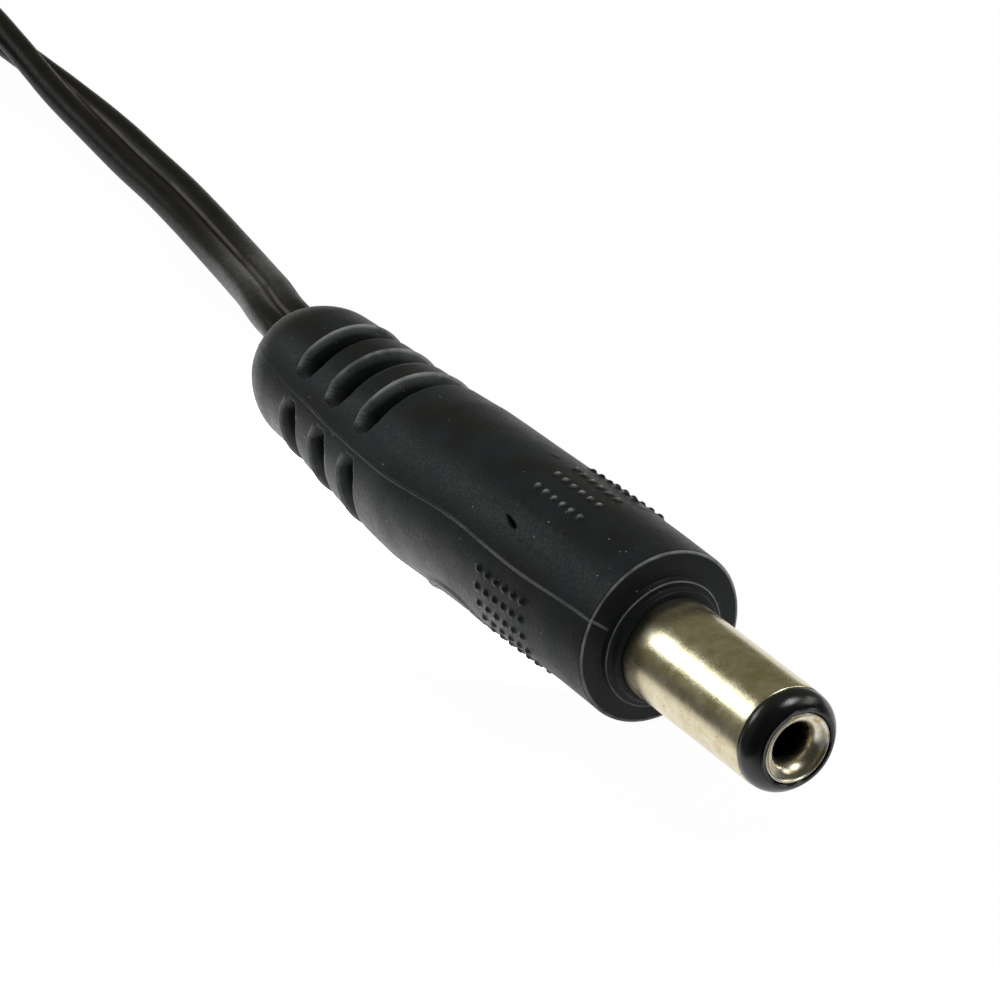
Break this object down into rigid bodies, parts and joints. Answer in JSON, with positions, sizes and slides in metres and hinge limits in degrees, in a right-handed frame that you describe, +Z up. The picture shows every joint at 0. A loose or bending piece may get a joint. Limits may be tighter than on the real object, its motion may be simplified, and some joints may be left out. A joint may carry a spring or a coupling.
{
  "type": "dc barrel plug",
  "caption": "Moulded DC barrel plug with a bare round barrel, a slotted strain relief and a flat twin lead folded into a tied hank with bare tinned ends.",
  "frame": {"origin": "on the plug's axis at the front face of the collar, where the bare barrel starts", "axes": "+X along the plug's axis, out of the barrel's tip; +Z up from the surface that the plug and its lead lie on; +Y towards the side that the lead swings to"},
  "size_m": [0.1512, 0.0252, 0.0096],
  "materials": {
    "overmould_pvc": "satin moulded PVC",
    "inner_pe": "dull natural polyethylene",
    "barrel_plate": "bright nickel plate over brass, pitted",
    "nose_plastic": "glossy black nylon",
    "contact_plate": "bright plated brass",
    "fibre": "dull brown paper laminate",
    "lug_plate": "tinned brass strip",
    "solder": "soft solder",
    "copper": "twisted copper strands",
    "lead_pvc": "satin PVC",
    "tie_coat": "plastic coated wire",
    "tinned_copper": "tinned copper strands"
  },
  "bodies": {
    "root": {"overmould": "overmould_pvc", "inner_mould": "inner_pe", "outer_sleeve": "barrel_plate", "insulating_bush": "nose_plastic", "centre_contact": "contact_plate", "rear_washer": "fibre", "negative_lug": "lug_plate", "positive_lug": "lug_plate", "negative_solder": "solder", "positive_solder": "solder", "negative_core": "copper", "positive_core": "copper", "negative_leg": "lead_pvc", "positive_leg": "lead_pvc", "cord": "lead_pvc", "cord_hank": "lead_pvc", "cord_tail": "lead_pvc", "hank_tie": "tie_coat", "tail_leg_negative": "lead_pvc", "tail_leg_positive": "lead_pvc", "tinned_end_negative": "tinned_copper", "tinned_end_positive": "tinned_copper"}
  },
  "joints": []
}
